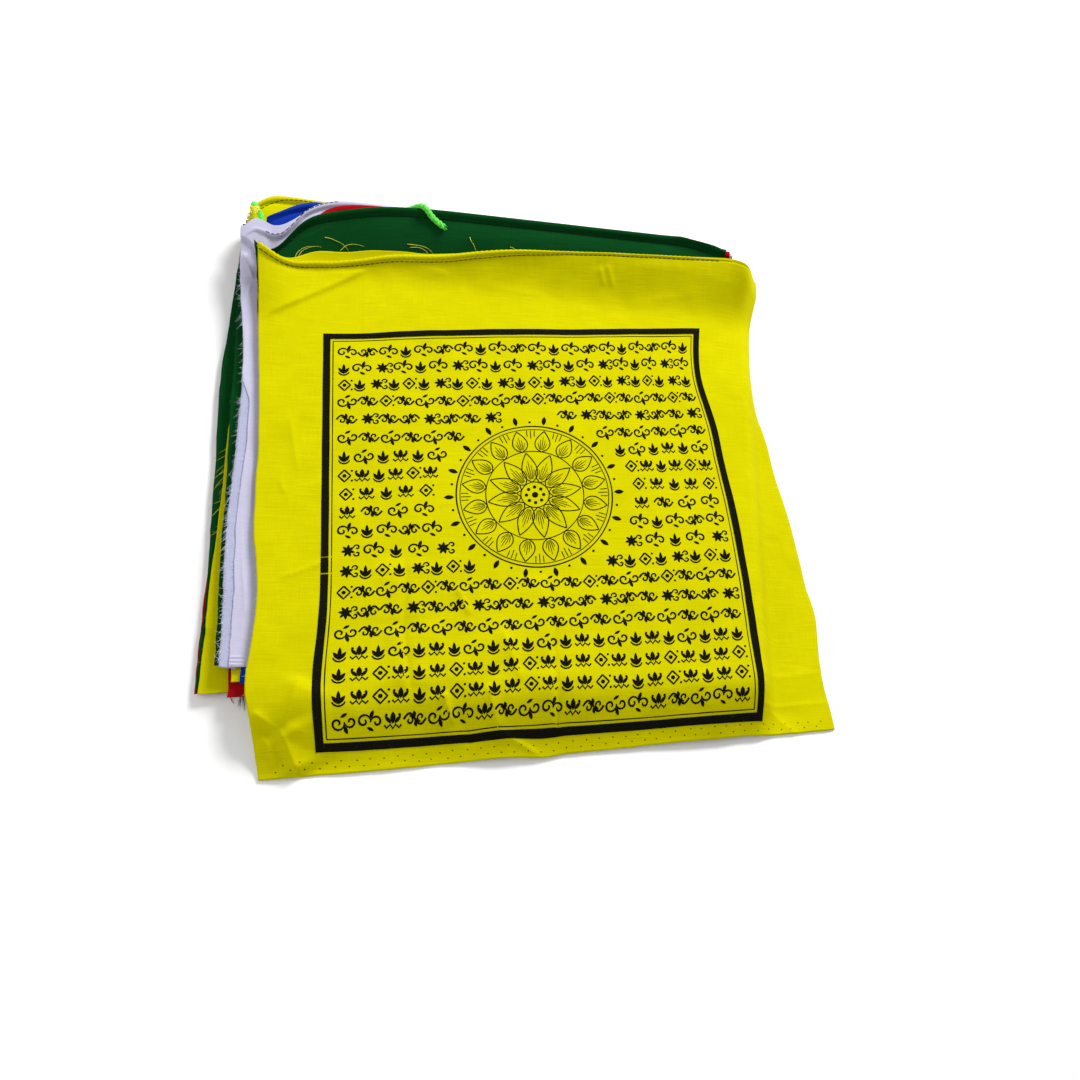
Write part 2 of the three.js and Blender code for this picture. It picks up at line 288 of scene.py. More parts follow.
class Pieces:
    """Collects tubes, ribbons and dots into one mesh."""

    def __init__(self):
        self.points, self.faces, self.uv, self.count = [], [], [], 0

    def put(self, points, faces, uv=None):
        self.points.append(points)
        self.faces.extend((np.asarray(f) + self.count).tolist() for f in faces)
        self.uv.append(np.zeros((len(points), 2)) if uv is None else uv)
        self.count += len(points)

    def tube(self, path, radius, sides, taper=False, twist=0.0, ribs=0.0):
        """A round thread; twist is the length of one turn of its ribs."""
        path = np.asarray(path, float)
        n = len(path)
        radius = np.broadcast_to(np.asarray(radius, float), (n,))
        along, _, ways = travel(path)
        angle = np.arange(sides) / sides * 2 * math.pi
        rings, uv = [], []
        for i, (centre, (side, other)) in enumerate(zip(path, ways)):
            size = radius[i] * (1 - END_TAPER * i / (n - 1) if taper else 1) * np.ones(sides)
            if twist:
                size = size * (1 + ribs * np.cos(2 * math.pi * along[i] / twist + angle))
            rings.append(
                centre
                + (size * np.cos(angle))[:, None] * side
                + (size * np.sin(angle))[:, None] * other
            )
            uv.append(np.stack([along[i] + 0 * angle, radius[i] * angle], -1))
        faces = []
        for here in range(0, (n - 1) * sides, sides):
            there = here + sides
            for k in range(sides):
                after = (k + 1) % sides
                faces.append((here + k, here + after, there + after, there + k))
        faces += [tuple(range(sides))[::-1], tuple((n - 1) * sides + k for k in range(sides))]
        self.put(np.vstack(rings), faces, np.vstack(uv))

    def make(self, name, material):
        return mesh_object(name, np.vstack(self.points), self.faces, material, np.vstack(self.uv))


# Cords: the route of each in the pile, close to that of its solid
STRANDS, STRAND_OFFSET, STRAND_RADIUS, STRAND_PITCH = 3, 0.98, 1.0, 9.0
END_FIBRES, FIBRE_RADIUS = 26, 0.12
LINK_ROUTE = [
    (-168, 198.4, 19.2), (-167.9, 197.9, 22), (-167.2, 195.7, 24.7), (-166, 192.4, 26.2),
    (-164.4, 188.8, 26.5), (-163.2, 185.2, 26.0), (-163, 181.6, 25.5),
]
TAIL_ROUTE = [
    (-166, 200.2, 2.2), (-150, 200.2, 2.1), (-130, 200.4, 2.1), (-112, 200.4, 2.1),
    (-101, 200.2, 2.15), (-92, 199.8, 3.2), (-85.5, 199.5, 6.4), (-81.8, 199.3, 11.4),
    (-80.6, 199.2, 15.2), (-79, 198.9, 18), (-76, 198.1, 20.2), (-72.6, 196.7, 22.4),
    (-69.4, 195.2, 25.4), (-66.8, 193, 29.8), (-64.9, 190.6, 34), (-63.3, 188.3, 37.6),
    (-61.9, 186.4, 40), (-60.5, 184.6, 40.8), (-58.8, 182.6, 40.1), (-56.8, 180.5, 38.3),
    (-54.4, 178.2, 37.2), (-51.8, 175.9, 36.8), (-48.8, 173.2, 36.4),
]


def twisted_cord(name, route):
    """A laid cord with loose fibres at its far end; also its path and its length."""
    path = spline(route, 14)
    along, ahead, ways = travel(path)
    rope = Pieces()
    for strand in range(STRANDS):
        angle = along / STRAND_PITCH * 2 * math.pi + strand / STRANDS * 2 * math.pi
        lane = np.array([
            p + STRAND_OFFSET * (math.cos(a) * side + math.sin(a) * other)
            for p, a, (side, other) in zip(path, angle, ways)
        ])
        rope.tube(lane, STRAND_RADIUS, 8)
    for _ in range(END_FIBRES):
        a = rng.uniform(0, 2 * math.pi)
        off_centre = rng.uniform(0.2, 1.5)
        start = path[-1] + off_centre * (math.cos(a) * ways[-1][0] + math.sin(a) * ways[-1][1])
        reach = ahead[-1] * rng.uniform(0.8, 2.2) + rng.normal(0, 0.35, 3)
        rope.tube([start - ahead[-1], start + reach * 0.5, start + reach], FIBRE_RADIUS, 4)
    return rope.make(name, CORD), path, along[-1]


tail, tail_path, tail_length = twisted_cord("cord_tail_twist", TAIL_ROUTE)
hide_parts("cord_tail")
link, _, _ = twisted_cord("cord_link_twist", LINK_ROUTE)
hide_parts("cord_link")

# The pile: every flag's plan, from the top down, in mm
COLUMNS = (
    "colour left_top left_hem right_top right_hem head_left head_right hem_left hem_right casing"
)
FLAG_ROWS = [
    ("yellow", -165, -165, 162, 166, 167, 151, -169, -157, 3.6),
    ("green", -167, -160, 138, 108, 197.7, 168, -118, -118, 3.4),
    ("red", -164, -160.5, 142.5, 111, 199.1, 167, -108, -113, 1.4),
    ("white", -176, -186, 145, 113, 206, 167, -110, -114, 2.8),
    ("blue", -160, -175, 147, 110, 203.1, 166, -119, -117, 2.0),
    ("yellow", -170, -180, 150, 114, 209.5, 164, -117, -118, 2.4),
    ("green", -175, -192, 143, 108, 198, 163, -107, -113, 0.8),
    ("red", -173, -182, 141, 107, 204, 164, -125, -120, 0.8),
    ("white", -167, -177, 139, 109, 196, 162, -115, -115, 0.8),
    ("blue", -169, -176, 142, 106, 199, 163, -120, -118, 0.8),
    ("yellow", -168, -198, 140, 110, 198, 162, -121, -120, 0.8),
    ("green", -174, -199, 142, 111, 201, 165, -119, -118, 0.8),
    ("red", -174, -200, 138, 107, 195, 160, -120, -119, 0.8),
    ("white", -168, -188, 141, 109, 198, 163, -112, -112, 0.8),
    ("blue", -170, -190, 137, 108, 196, 161, -115, -116, 0.8),
]
FLAGS = [dict(zip(COLUMNS.split(), row)) for row in FLAG_ROWS]
for number, flag in enumerate(FLAGS):
    flag["index"] = number
    flag["node"] = f"flag_{number:02d}_{flag['colour']}"
# Dips of a heading: share of the width, spread, depth
DIPS = {
    0: [(0.049, 0.046, 9.4), (0.148, 0.1, 10.5), (0.98, 0.036, 6.8)],
    1: [(0.021, 0.062, 28), (0.083, 0.141, 13.4), (1, 0.06, 6.5)],
    2: [(0.038, 0.059, 32.4), (0.041, 0.099, 14.5), (1, 0.05, 4)],
    3: [(0.062, 0.077, 25.4), (-0.001, 0.022, 16.3), (1, 0.05, 2.5)],
    4: [(-0.018, 0.077, 18.5)],
    5: [(-0.013, 0.038, 15.2)],
    6: [(0, 0.06, 13)],
    7: [(0, 0.06, 14)],
    11: [(0, 0.06, 9)],
    12: [(0, 0.06, 4)],
}
DIP_FADE = 110  # a dip is gone this far below the far edge, mm
# Pulls of a side edge: share of the height, spread, shift, share of the width that lies still, edge
SIDE_PULLS = {
    0: [
        (0.28, 0.19, -15, 0.6, 1), (0.87, 0.1, -6, 0.25, 0),
        (0.36, 0.08, 5.5, 0.7, 1), (0, 0.06, 3.5, 0.8, 1),
    ],
    3: [(0.42, 0.22, 5.5, 0.2, 0)],
    11: [(0.38, 0.25, -4.5, 0.2, 0)],
}
PITCH = 1.45  # a sheet of the solid model and the air over it
CLOTH = 0.45  # thickness of the dressed cloth
CASING = 5.0  # width of a sewn heading
CASING_EASE, CASING_FALL = 5, 45  # how far a heading holds up the cloth over it, and fades out
# Drape over the flags below: level distance past an edge, fall at a side, fall at the hem
PILE_DRAPE, TOP_DRAPE = (12, 24, 24), (11, 15, 40)
FLAG_SIDE = 330  # of a flag laid flat
PLAN_WIDE = 325  # mean width of a flag in the pile
GREEN, WHITE, BLUE, YELLOW = 1, 3, 4, 5
LOWER_GREEN, LOWER_RED, LOWER_YELLOW, LAST_GREEN = 6, 7, 10, 11


def head_line(flag, u):
    return lerp(flag["head_left"], flag["head_right"], u)


def flag_height(flag, u):
    return head_line(flag, u) - lerp(flag["hem_left"], flag["hem_right"], u)


def plan(flag, u, s):
    v = s / flag_height(flag, u)
    left = lerp(flag["left_top"], flag["left_hem"], v)
    x = lerp(left, lerp(flag["right_top"], flag["right_hem"], v), u)
    for at, spread, shift, still, edge in SIDE_PULLS.get(flag["index"], []):
        x = x + shift * hump((v - at) / spread) * smooth((u - still) / (edge - still))
    dip = sum(d * hump((u - at) / spread) for at, spread, d in DIPS.get(flag["index"], [(0, 1, 0)]))
    return x, head_line(flag, u) - s - dip * np.clip(1 - s / DIP_FADE, 0, 1) ** 2


def casing_middle(flag, u):
    """Distance of a heading's middle below the far edge; the white one runs lower at its left."""
    band = 10 * (1 - np.clip((u - 0.08) / 0.045, 0, 1)) if flag["index"] == WHITE else 0 * u
    return band + CASING / 2


def casing_height(flag, u):
    return flag["casing"] * (smooth(u / 0.08) if flag["index"] == WHITE else 1)


def added_height(flag, x, y, ease, side, hem):
    """What one flag adds to the height of the cloth that lies on it."""
    corners = [
        (flag["left_top"], flag["head_left"]), (flag["right_top"], flag["head_right"]),
        (flag["right_hem"], flag["hem_right"]), (flag["left_hem"], flag["hem_left"]),
    ]
    out = [
        ((bx - ax) * (y - ay) - (by - ay) * (x - ax)) / math.hypot(bx - ax, by - ay)
        for (ax, ay), (bx, by) in zip(corners, corners[1:] + corners[:1])
    ]
    sides = smooth(1 - (np.maximum(np.maximum(out[0], out[1]), out[3]) - ease) / side)
    cover = sides * smooth(1 - (out[2] - ease) / hem)
    u = np.clip((x - flag["left_top"]) / (flag["right_top"] - flag["left_top"]), 0, 1)
    far = plan(flag, u, 0 * u)[1]
    off = np.abs(y - far + casing_middle(flag, u)) - CASING_EASE
    past = np.maximum(np.maximum(flag["left_top"] - x, x - flag["right_top"]), 0) - CASING_EASE
    held = smooth(1 - off / CASING_FALL) * smooth(1 - past / CASING_FALL)
    return PITCH * cover + flag["casing"] * held


def underside(index, x, y):
    drape = PILE_DRAPE if index else TOP_DRAPE
    return sum((added_height(f, x, y, *drape) for f in FLAGS[index + 1:]), np.zeros_like(x))


def ripple(seed, waves, length):
    """A smooth seeded function of one distance, about -1 to 1."""
    dice = np.random.default_rng(seed)
    terms = [
        (dice.uniform(0.5, 1) / (n + 1), (n + 1) / length, dice.uniform(0, 7)) for n in range(waves)
    ]
    scale = sum(t[0] for t in terms)
    return lambda d: sum(a * np.sin(2 * math.pi * f * d + p) for a, f, p in terms) / scale


def slab(name, top, bottom, uv, material, every=1):
    """Closed sheet between two grids of points; the underside keeps every so many rows only."""
    n, m = top.shape[:2]
    at = np.arange(n * m).reshape(n, m)
    keep_u = sorted(set(range(0, n, every)) | {n - 1})
    keep_v = sorted(set(range(0, m, every)) | {m - 1})
    low = np.full((n, m), -1)
    kept = np.arange(len(keep_u) * len(keep_v)).reshape(len(keep_u), -1) + n * m
    low[np.ix_(keep_u, keep_v)] = kept
    above = np.stack([at[:-1, :-1], at[:-1, 1:], at[1:, 1:], at[1:, :-1]], -1)
    below = np.stack([kept[:-1, :-1], kept[1:, :-1], kept[1:, 1:], kept[:-1, 1:]], -1)
    faces = above.reshape(-1, 4).tolist() + below.reshape(-1, 4).tolist()
    loop = [(0, j) for j in range(m)] + [(i, m - 1) for i in range(1, n)]
    loop += [(n - 1, j) for j in range(m - 2, -1, -1)] + [(i, 0) for i in range(n - 2, -1, -1)]
    under = low[0, 0]
    for here, there in zip(loop, loop[1:]):
        faces.append((at[here], under, at[there]))
        if low[there] >= 0:
            faces.append((at[there], under, low[there]))
            under = low[there]
    points = np.concatenate([top.reshape(-1, 3), bottom[np.ix_(keep_u, keep_v)].reshape(-1, 3)])
    uv = np.concatenate([uv.reshape(-1, 2), uv[np.ix_(keep_u, keep_v)].reshape(-1, 2)])
    faces = [tuple(int(k) for k in face) for face in faces]
    return mesh_object(name, points, faces, material, uv)


def joined(*parts):
    """Places along a line, in parts of (start, end, number of steps)."""
    steps = [np.linspace(a, b, n, endpoint=False) for a, b, n in parts]
    return np.concatenate(steps + [[parts[-1][1]]])


# Flags of the pile under the top one
RIM_FOLD = [  # the white flag's turned corner, in the pile
    (-178, 171), (-176, 169.7), (-171.8, 167.5), (-168.1, 163.8), (-165, 159.3), (-158, 148),
]
# Flag, ends in the pile, width on the left and the right of the way from end to end, height
TUCKS = [
    (GREEN, 102, 170, 134, 160.6, 1.2, 4, 1.9),
    (GREEN, -60, 166, 40, 168, 5, 7, 0.6),
    (GREEN, -138, 166, -118, 176, 1.2, 3, 0.6),
    (WHITE, -174, 160, -168.5, 144, 1.5, 5, 1.9),
    (WHITE, -170, 140, -176, 116, 5, 1.5, 1.5),
    (WHITE, -172, 108, -174, 70, 1.6, 3, 0.8),
    (WHITE, -174, 20, -170, -20, 3, 2, 0.7),
    (WHITE, -178, -40, -173, -80, 2, 4, 0.8),
    (WHITE, -160, 178, -146, 186, 2, 4, 0.8),
]
# A second thickness near the left edge: from this share of the height, this far from the edge
GREEN_LAYER, WHITE_LAYER = (0.3, 4.0), (0.42, 5.5)
GREEN_STRIP = 3.0  # the green edge beside the white one lies this much further in at its hem
WHITE_HEMS = (1.3, 3.3, 5.6)  # lines of the white hem, mm above its edge
YELLOW_TURN, TURN_HEIGHT = 35, 1.1  # the lower yellow flag is single cloth this close to its hem
LEFT_WAVE, RIGHT_WAVE, HEM_WAVE = 0.9, 0.4, 0.6  # waviness of the cut edges, mm
WAVE_SIDE, WAVE_HEM = 0.05, 12  # how far in it goes: share of the width, mm
SEAM_DEPTH, SEAM_AT, SEAM_WIDE = 0.3, 0.7, 0.9  # groove of the stitches beside a heading
# Height of a doubled edge, a turned corner, a line of a hem and a rounded end
LAYER_STEP, FOLD_STEP, HEM_STEP, END_STEP = 0.95, 1.9, 0.55, 2.2
AIR, AIR_WAVE, LOWEST, THINNEST = 0.22, 0.14, 0.12, 0.2  # under the cloth, and limits of its faces
NEAR_HEADING = 70  # rows down to here are set out in mm, the rest by their share


def ridge(x, y, x1, y1, x2, y2, left, right_side, height):
    """A crease from end to end that falls away on either side."""
    dx, dy = x2 - x1, y2 - y1
    length = math.hypot(dx, dy)
    t = ((x - x1) * dx + (y - y1) * dy) / length**2
    off = ((x - x1) * -dy + (y - y1) * dx) / length
    width = np.where(off > 0, left, right_side)
    ends = smooth((t + 0.12) / 0.3) * smooth((1.12 - t) / 0.3)
    return height * np.exp(-np.abs(off) / width) * ends


def pile_flag(flag):
    """A flag under the top one, and the grid of its upper face."""
    index = flag["index"]
    if index <= YELLOW:  # its heading shows
        u = joined((0, 0.04, 26), (0.04, 0.14, 30), (0.14, 0.35, 34), (0.35, 0.9, 26), (0.9, 1, 18))
        near = joined((0, 18, 44), (18, NEAR_HEADING, 46))
    else:
        u = joined((0, 0.04, 18), (0.04, 0.35, 14), (0.35, 0.9, 14), (0.9, 1, 6))
        near = joined((0, 6, 10), (6, NEAR_HEADING, 16))
    rest = joined((0, 0.8, 30), (0.8, 0.965, 24), (0.965, 1, 18))[1:]
    U = np.repeat(u[:, None], len(near) + len(rest), axis=1)
    full = flag_height(flag, u)[:, None]
    far = NEAR_HEADING + (full - NEAR_HEADING) * rest[None, :]
    S = np.concatenate([np.repeat(near[None, :], len(u), 0), far], axis=1)
    x, y = plan(flag, U, S)
    z = underside(index, x, y)
    wave = ripple(40 + index, 14, 90)
    strip = GREEN_STRIP * (index == LOWER_GREEN) * S / full
    x = x + (LEFT_WAVE * wave(S) + strip) * smooth(1 - U / WAVE_SIDE)
    x = x + RIGHT_WAVE * wave(S + 37) * smooth((U - 1 + WAVE_SIDE) / WAVE_SIDE)
    y = y + HEM_WAVE * wave(U * 300) * smooth((S - full + WAVE_HEM) / WAVE_HEM)
    across_middle = (S - casing_middle(flag, U)) / (CASING / 2)
    body = CLOTH + casing_height(flag, U) * np.sqrt(np.clip(1 - across_middle**2, 0, 1))
    seam = S - casing_middle(flag, U) - CASING / 2
    body = body - SEAM_DEPTH * hump((seam - SEAM_AT) / SEAM_WIDE) * (index != WHITE)
    for number, *tuck in TUCKS:
        if number == index:
            body = body + ridge(x, y, *tuck)
    if index == LOWER_GREEN:
        share, inside = GREEN_LAYER
        raised = smooth((U * PLAN_WIDE - inside - 1.1 * wave(S + 11)) / 0.6)
        body = body + LAYER_STEP * raised * smooth((S / full - share) / 0.04)
    if index == WHITE:
        share, inside = WHITE_LAYER
        over = smooth((S / full - share) / 0.05)
        z = z + 0.4 * over * smooth((0.06 - U) / 0.03)
        x = x + (inside + 1.4 * wave(S + 23)) * over * smooth(1 - U / WAVE_SIDE)
        fold_y = np.interp(x, *np.array(RIM_FOLD).T)
        body = body + FOLD_STEP * smooth((y - fold_y) / 0.6 + 0.5) * smooth((-156 - x) / 6)
        for inset in WHITE_HEMS:
            body = body + HEM_STEP * hump((full - S - inset) / 0.5)
    if index == BLUE:  # a rounded end with a fold in it
        end = np.sqrt(np.clip(U / 0.014, 0.02, 1))
        fading = np.sqrt(np.clip(1 - U / 0.13, 0, 1) * np.clip(1 - S / 14, 0, 1))
        body = body + END_STEP * end * fading
        x = x + 3.5 * smooth((S - 5) / 7) * smooth(1 - S / 40) * smooth(1 - U / 0.03)
        body = body - 1.1 * hump((S - 3.6 - 20 * U) / 0.9) * smooth((0.16 - U) / 0.06)
    if index == LOWER_YELLOW:
        body = body + TURN_HEIGHT * smooth((full - YELLOW_TURN - S) / 0.8)
    z = z + AIR + AIR_WAVE * ripple(80 + index, 5, 140)(S + 90 * U)
    z = np.maximum(z, LOWEST)
    bottom = np.stack([x, y, z], -1)
    top = np.stack([x, y, z + np.maximum(body, THINNEST)], -1)
    uv = np.stack([U * FLAG_SIDE, S], -1)
    name, material = f"cloth_{index:02d}_{flag['colour']}", COTTONS[flag["colour"]]
    cloth = slab(name, top, bottom, uv, material, every=2)
    return cloth, dict(u=u, s=S, top=top)


def under_layer(flag):
    """The thin ragged edge of the white flag's second thickness, outside its upper edge."""
    share, inside = WHITE_LAYER
    full = flag_height(flag, 0.0)
    across_it, down = np.linspace(0, 1, 8), np.linspace((share - 0.05) * full, full - 0.5, 230)
    U, S = np.meshgrid(across_it * (inside + 4.5) / PLAN_WIDE, down, indexing="ij")
    x, y = plan(flag, U, S)
    ragged = 0.8 * ripple(43, 14, 90)(S) + 0.45 * ripple(77, 12, 22)(S)
    x = x + ragged * (1 - across_it)[:, None]
    low = np.stack([x, y, underside(flag["index"], x, y) + 0.16], -1)
    uv = np.stack([U * FLAG_SIDE, S], -1)
    return slab("under_layer_white", low + (0, 0, 0.3), low, uv, THIN_WHITE)


# The top flag
FOLDS = [  # ends in the pile, width on the left and the right of the way from end to end, height
    (-159, 114, -95, 150, 12, 1.1, 2.3),
    (-154, -146.5, -168, -136, 4, 2.5, 2.2),
    (-163, -148, -156, -162, 2, 3, 1.8),
    (-153, -60, -126, -49.5, 0.7, 2.2, 1.3),
    (-152.8, 0.8, -150.4, -7, 1.2, 1.6, 0.7),
    (-146.8, 44, -142.5, 7, 1.2, 2.6, 0.8),
    (-99, 152, -100.5, 104, 0.8, 0.8, 0.25),
    (51.8, 148, 54.5, 138, 1.5, 1.9, 1.1),
    (56.8, 149, 60.6, 137, 1.5, 1.9, 1.1),
    (-83, -52, -86.7, -91, 13, 10, 3.8),
    (-83, -52, -86.7, -91, 4.0, 2.0, -3.8),
    (-86.7, -91, -84.3, -127, 13, 10, 4.8),
    (-86.7, -91, -84.3, -127, 4.6, 2.1, -4.8),
    (-65.8, -130, -62, -146, 1.5, 3.4, 3.0),
    (-54, -140, -50, -158, 5, 4, -1.8),
    (-41.7, -127, -36, -150.4, 2.6, 3.6, 2.0),
    (-36, -150.4, -12, -164, 2.2, 4, 1.9),
    (0.4, -66, -3.1, -119, 12, 11, 3.2),
    (0.4, -66, -3.1, -119, 4.2, 1.9, -3.2),
    (-3.1, -119, -1.9, -152, 12, 11, 3.8),
    (-3.1, -119, -1.9, -152, 4.2, 1.9, -3.8),
    (-54.3, -68.4, -48.6, -85, 1.4, 2.8, 2.0),
    (-30, -96, -22, -126, 2.2, 6, 2.0),
    (-95.4, -7, -98.2, -22, 1.2, 2, 0.8),
    (117, -125.3, 166, -121, 1.0, 2.4, 0.6),
    (117, -142.3, 166, -140.3, 1.0, 2.4, 0.55),
    (124, -142, 140.5, -158, 1.0, 2.4, 0.8),
    (-30, 140, 18, 131, 8, 12, 1.1),
    (70, 126, 118, 132, 12, 9, 1.0),
    (-66, 152, -46, 145, 2, 5, 0.9),
]
CRESTS = [  # where the cloth breaks over the near left corner of the pile
    (-154, -146.5, -144.8, -167, 10, 7, 7),
    (-154, -146.5, -143, -120, 6, 13, 4.4),
]
HEM_ARCHES = [(0.4, 0.06, 3), (0.74, 0.09, 1.5)]  # share of the width, spread, lift
ARCH_FROM = 0.82  # share of the height where an arch begins
CORNER_LIFT, CORNER_WIDE, CORNER_DEEP = 7, 0.05, 20  # the far right corner stands up
HEM_SAG_AT, HEM_SAG_WIDE, HEM_SAG = 0.463, 0.03, 1.7  # where the hem line runs lower
SINK, HEM_SINK, HEM_SINK_FROM = 0.8, 4, -114  # deepest grooves: on the pile, and past its near edge
RIM_THICK, RIM_HALF = 0.9, 1.9  # the turned hem along the heading: height, half width
# The top heading, in mm below the far edge of the plan: the stitch line, and the edge of the turned
# hem behind it
STITCH_AT = curve([
    (0, 6.2), (0.04, 6.2), (0.09, 7.4), (0.12, 6.6), (0.17, 4.4), (0.23, 6), (0.3, 8.4),
    (0.33, 8.8), (0.37, 8), (0.42, 6), (0.47, 4.2), (0.52, 3), (0.6, 1.9), (0.66, 1.4),
    (0.8, 1.4), (1, 1.9),
])
EDGE_AT = curve([
    (0, 2.6), (0.04, 2.2), (0.055, 1), (0.09, -2), (0.124, -4), (0.165, -4), (0.207, -3),
    (0.253, 0.9), (0.317, 4.7), (0.37, 4.2), (0.414, 3), (0.47, 1.4), (0.52, 0.8), (0.6, 0.4),
    (0.69, 0), (1, 0),
])
# Waviness of the side edges of the top flag: share of the height, mm to the right
LEFT_EDGE = curve([
    (0, 0), (0.42, 0), (0.5, -1.7), (0.54, -1.8), (0.587, -2.9), (0.634, -1.7), (0.69, -0.6),
    (0.74, -0.6), (0.83, -1.2), (0.866, -1.4), (0.905, 0.3), (1, 0),
])
RIGHT_EDGE = curve([
    (0, -2.5), (0.02, 0), (0.08, 0.5), (0.3, 0), (0.7, 0), (0.745, 2.2), (0.77, 3), (0.8, 1.9),
    (0.84, 0), (0.9, -1.6), (0.96, -0.6), (1, 0),
])
BELOW_STITCHES = 2.0  # the rows of the heading end this far below its stitches
HEADING_ROWS = 20
REST = joined((0, 0.9, 212), (0.9, 1, 36))


def top_flag(flag):
    """The printed flag, which hangs past the near edge of the pile, and its upper face's grid."""
    u = joined((0, 0.1, 32), (0.1, 0.9, 222), (0.9, 1, 32))
    full = flag_height(flag, u)[:, None]
    edge, stitch = EDGE_AT(u)[:, None], STITCH_AT(u)[:, None]
    start = stitch + BELOW_STITCHES
    heading = np.arange(HEADING_ROWS) / HEADING_ROWS
    S = np.concatenate([edge + (start - edge) * heading, start + (full - start) * REST], axis=1)
    U = np.repeat(u[:, None], S.shape[1], axis=1)
    V = S / full
    x, y = plan(flag, U, np.maximum(S, 0))
    y = y + np.maximum(-S, 0)
    lying = underside(0, x, y)
    wave, drift = ripple(3, 14, 120), ripple(5, 7, 130)
    x = x + (LEFT_EDGE(V) + 0.5 * wave(S)) * smooth(1 - U / 0.06)
    x = x + (RIGHT_EDGE(V) + 0.4 * wave(S + 60)) * smooth((U - 0.93) / 0.07)
    sag = HEM_SAG * hump((U - HEM_SAG_AT) / HEM_SAG_WIDE)
    y = y + (0.5 * wave(U * FLAG_SIDE) - sag) * smooth((V - 0.94) / 0.06)
    rim = np.sqrt(np.clip(1 - ((S - stitch + 1.7) / RIM_HALF) ** 2, 0, 1))
    thick = CLOTH + RIM_THICK * rim * smooth((stitch - 1.6) / 2)
    crest = sum(ridge(x, y, *line) for line in CRESTS)
    lift = crest + sum(ridge(x, y, *fold) for fold in FOLDS)
    billow = 0.5 * drift(x + 0.6 * y) + 0.4 * ripple(9, 6, 100)(y - 0.45 * x)
    lift = lift + billow * (1 + 0.7 * smooth((V - 0.5) / 0.3))
    lift = np.maximum(lift, -SINK - HEM_SINK * smooth((HEM_SINK_FROM - y) / 12))
    lift = lift + 0.16 * ripple(13, 9, 70)(y + 0.2 * x)
    lift = np.where(lift > 0, lift, lift * smooth(lying / 6)) * smooth((S - stitch) / 7)
    pucker = 0.35 * ripple(21, 7, 30)(U * FLAG_SIDE) * hump((S - stitch - 4.5) / 5)
    lift = lift + pucker - 0.3 * hump((S - stitch - 0.2) / 0.6)
    arch = sum(a * hump((U - at) / w) for at, w, a in HEM_ARCHES)
    arch = arch * smooth((V - ARCH_FROM) / (1 - ARCH_FROM))
    arch = arch + CORNER_LIFT * hump((1 - U) / CORNER_WIDE) * hump(S / CORNER_DEEP)
    z = np.maximum(lying + 0.35 + lift, 0.15) + arch
    under = np.maximum(np.minimum(z, lying + arch + 0.6 * crest + 0.3), 0.1)
    bottom = np.stack([x, y, under], -1)
    top = np.stack([x, y, z + thick], -1)
    uv = np.stack([U * FLAG_SIDE, S], -1)
    cloth = slab("cloth_00_yellow", top, bottom, uv, COTTONS["yellow"], every=4)
    return cloth, dict(u=u, s=S, top=top)


cloths, grids = [], []
for flag in FLAGS:
    cloth, grid = (pile_flag if flag["index"] else top_flag)(flag)
    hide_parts(flag["node"])
    cloths.append(cloth)
    grids.append(grid)
white_edge = under_layer(FLAGS[WHITE])


def on_top_flag(u, v):
    """Points of the top flag's upper face, from shares of its width and of its height."""
    grid = grids[0]
    start = STITCH_AT(u) + BELOW_STITCHES
    full = flag_height(FLAGS[0], u)
    i = np.interp(u, grid["u"], np.arange(len(grid["u"])))
    j = HEADING_ROWS + np.interp((v * full - start) / (full - start), REST, np.arange(len(REST)))
    i0 = np.clip(i.astype(int), 0, len(grid["u"]) - 2)
    j0 = np.clip(j.astype(int), 0, HEADING_ROWS + len(REST) - 2)
    a, b = (i - i0)[..., None], (j - j0)[..., None]
    t = grid["top"]
    near = t[i0, j0] * (1 - b) + t[i0, j0 + 1] * b
    return near * (1 - a) + (t[i0 + 1, j0] * (1 - b) + t[i0 + 1, j0 + 1] * b) * a


def on_flag(index, u, s):
    """A point of a flag's upper face, from its share of the width and mm below the far edge."""
    grid = grids[index]
    i = np.interp(u, grid["u"], np.arange(len(grid["u"])))
    i0 = int(np.clip(int(i), 0, len(grid["u"]) - 2))
    pair = []
    for column in (i0, i0 + 1):
        rows = grid["s"][column]
        pair.append([np.interp(s, rows, grid["top"][column, :, k]) for k in range(3)])
    return lerp(np.array(pair[0]), np.array(pair[1]), i - i0)


# Rolled rim of the top heading, drawn in by its stitches; it thins out before the far right corner
RIM_START, RIM_END, RIM_STEPS, RIM_TWIST, RIM_RIBS = 0.001, 0.93, 420, 3.1, 0.15
rim_u = np.linspace(RIM_START, RIM_END, RIM_STEPS)
rim_radius = np.clip((STITCH_AT(rim_u) - EDGE_AT(rim_u)) / 2 - 0.1, 0.35, 1.45)
rim_radius *= np.clip((0.96 - rim_u) / 0.12, 0.3, 1)
rim_path = np.array([
    on_flag(0, w, STITCH_AT(w) - 0.35 - r) for w, r in zip(rim_u, rim_radius)
])
rim_path[:, 2] = np.convolve(np.pad(rim_path[:, 2], 4, "edge"), np.ones(9) / 9, "valid")
rolled = Pieces()
rolled.tube(rim_path, rim_radius, 12, twist=RIM_TWIST, ribs=RIM_RIBS)
rim_roll = rolled.make("rolled_rim", COTTONS["yellow"])


# Printed ornament: a framed lotus roundel among rows of scrolls, petals, beads and buds
PRINT_WIDE, PRINT_TALL = 249.0, 263.0
PRINT_CORNERS = [(0.119, 0.186), (0.881, 0.140), (0.860, 0.977), (0.094, 0.967)]
INK_ABOVE, BAR_ABOVE = 0.12, 0.3  # height of fine ink and of the thick frame bars over the cloth
ink = Pieces()


